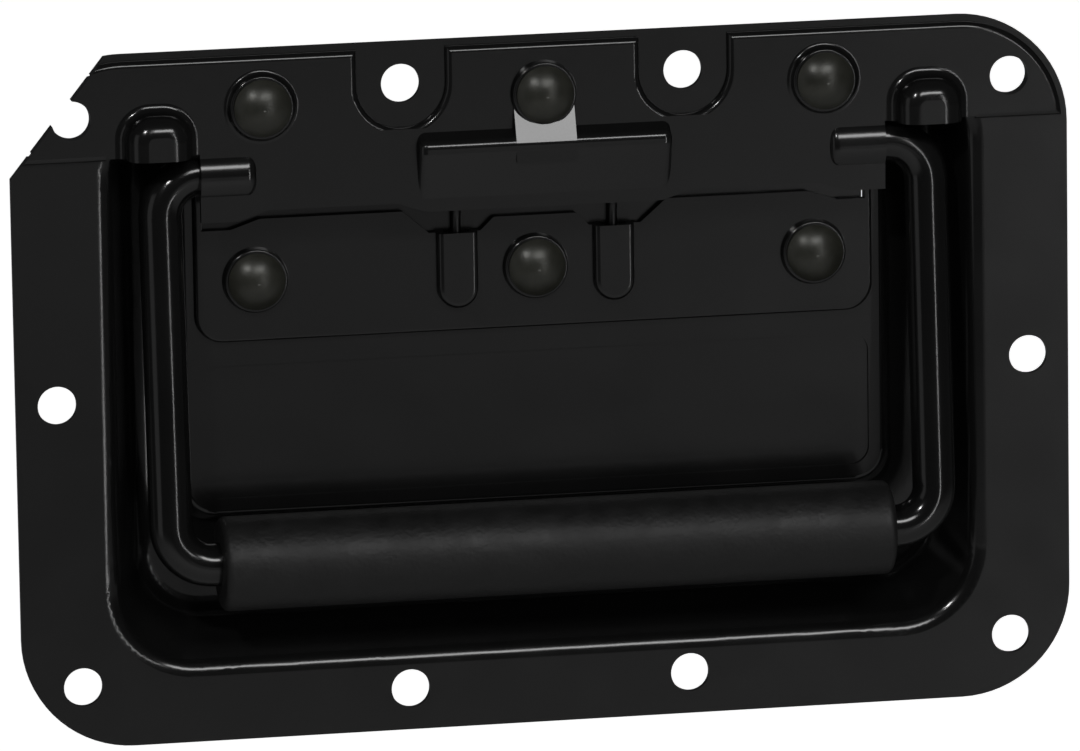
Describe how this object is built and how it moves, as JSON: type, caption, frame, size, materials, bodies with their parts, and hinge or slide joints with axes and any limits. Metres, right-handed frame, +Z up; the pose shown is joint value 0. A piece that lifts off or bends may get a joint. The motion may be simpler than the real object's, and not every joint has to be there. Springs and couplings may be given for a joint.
{
  "type": "recessed pull handle",
  "caption": "Pressed steel recessed dish with a sprung folding bail handle, a sleeve grip, a riveted hinge bracket and screw holes round its flange.",
  "frame": {"origin": "centre of the rectangle of four inner screw holes, in the plane of the flange's back", "axes": "-Y out of the front of the handle towards the hand, +Y into the wall it is sunk in, +X to the right seen from the front, +Z up towards the hinge"},
  "size_m": [0.172, 0.0239, 0.1126],
  "materials": {
    "dish_coating": "black satin powder coat over pressed sheet steel",
    "bracket_coating": "black satin powder coat over pressed sheet steel",
    "bail_coating": "black satin powder coat over bent round steel bar",
    "grip_sleeve": "soft matt black sleeve with faint mottling",
    "pin_steel": "plain drawn steel pin",
    "spring_steel": "dark oil-hardened spring wire",
    "rivet_coating": "dark bronze-grey semi-matt plated domes"
  },
  "bodies": {
    "recess": {"dish": "dish_coating", "hinge_bracket": "bracket_coating", "right_spring": "spring_steel", "left_spring": "spring_steel", "upper_left_rivet": "rivet_coating", "upper_middle_rivet": "rivet_coating", "upper_right_rivet": "rivet_coating", "lower_left_rivet": "rivet_coating", "lower_middle_rivet": "rivet_coating", "lower_right_rivet": "rivet_coating"},
    "handle": {"bail": "bail_coating", "grip": "grip_sleeve", "hinge_pin": "pin_steel"}
  },
  "joints": [
    {"name": "bail_hinge", "type": "hinge", "parent": "recess", "child": "handle", "pos_m": [0, 0.0012, 0.036], "axis": [-1, 0, 0], "range_deg": [-6, 85], "stiffness_Nm_per_rad": 1.05, "deforming": ["right_spring", "left_spring"]}
  ]
}
